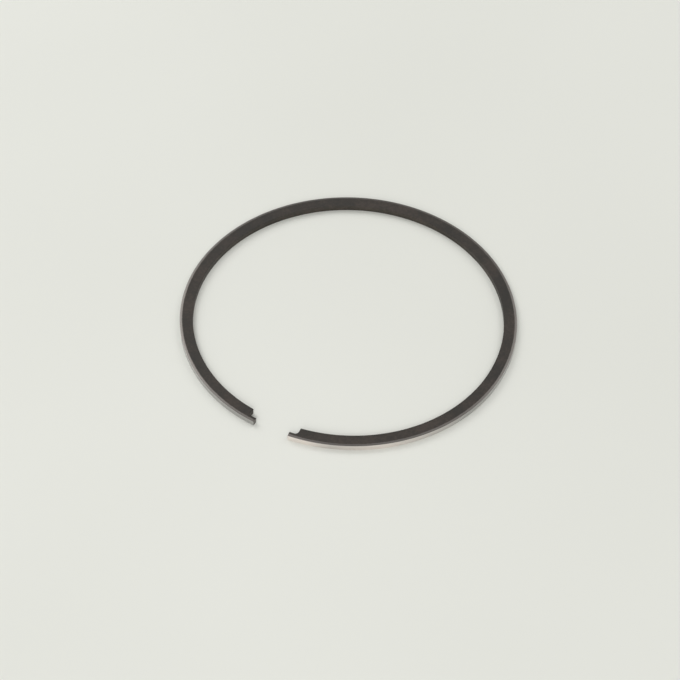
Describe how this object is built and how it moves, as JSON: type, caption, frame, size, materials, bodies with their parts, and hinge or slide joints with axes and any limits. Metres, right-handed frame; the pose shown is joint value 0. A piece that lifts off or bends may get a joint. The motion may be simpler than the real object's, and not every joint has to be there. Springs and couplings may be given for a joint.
{
  "type": "piston ring",
  "caption": "Thin dark cast-iron piston ring, open at a gap, with a stepped lip on each end, a bevelled upper outer edge and a bright running face.",
  "frame": {"origin": "on the resting plane, under the middle of the ring's bounding box", "axes": "+Z along the bore, -Y toward the gap, +X across the ring"},
  "size_m": [0.054, 0.0532, 0.001],
  "materials": {
    "ring_iron": "dark phosphate coat, bare metal on the outer face and its bevelled upper edge"
  },
  "bodies": {
    "root": {"piston_ring": "ring_iron"}
  },
  "joints": []
}
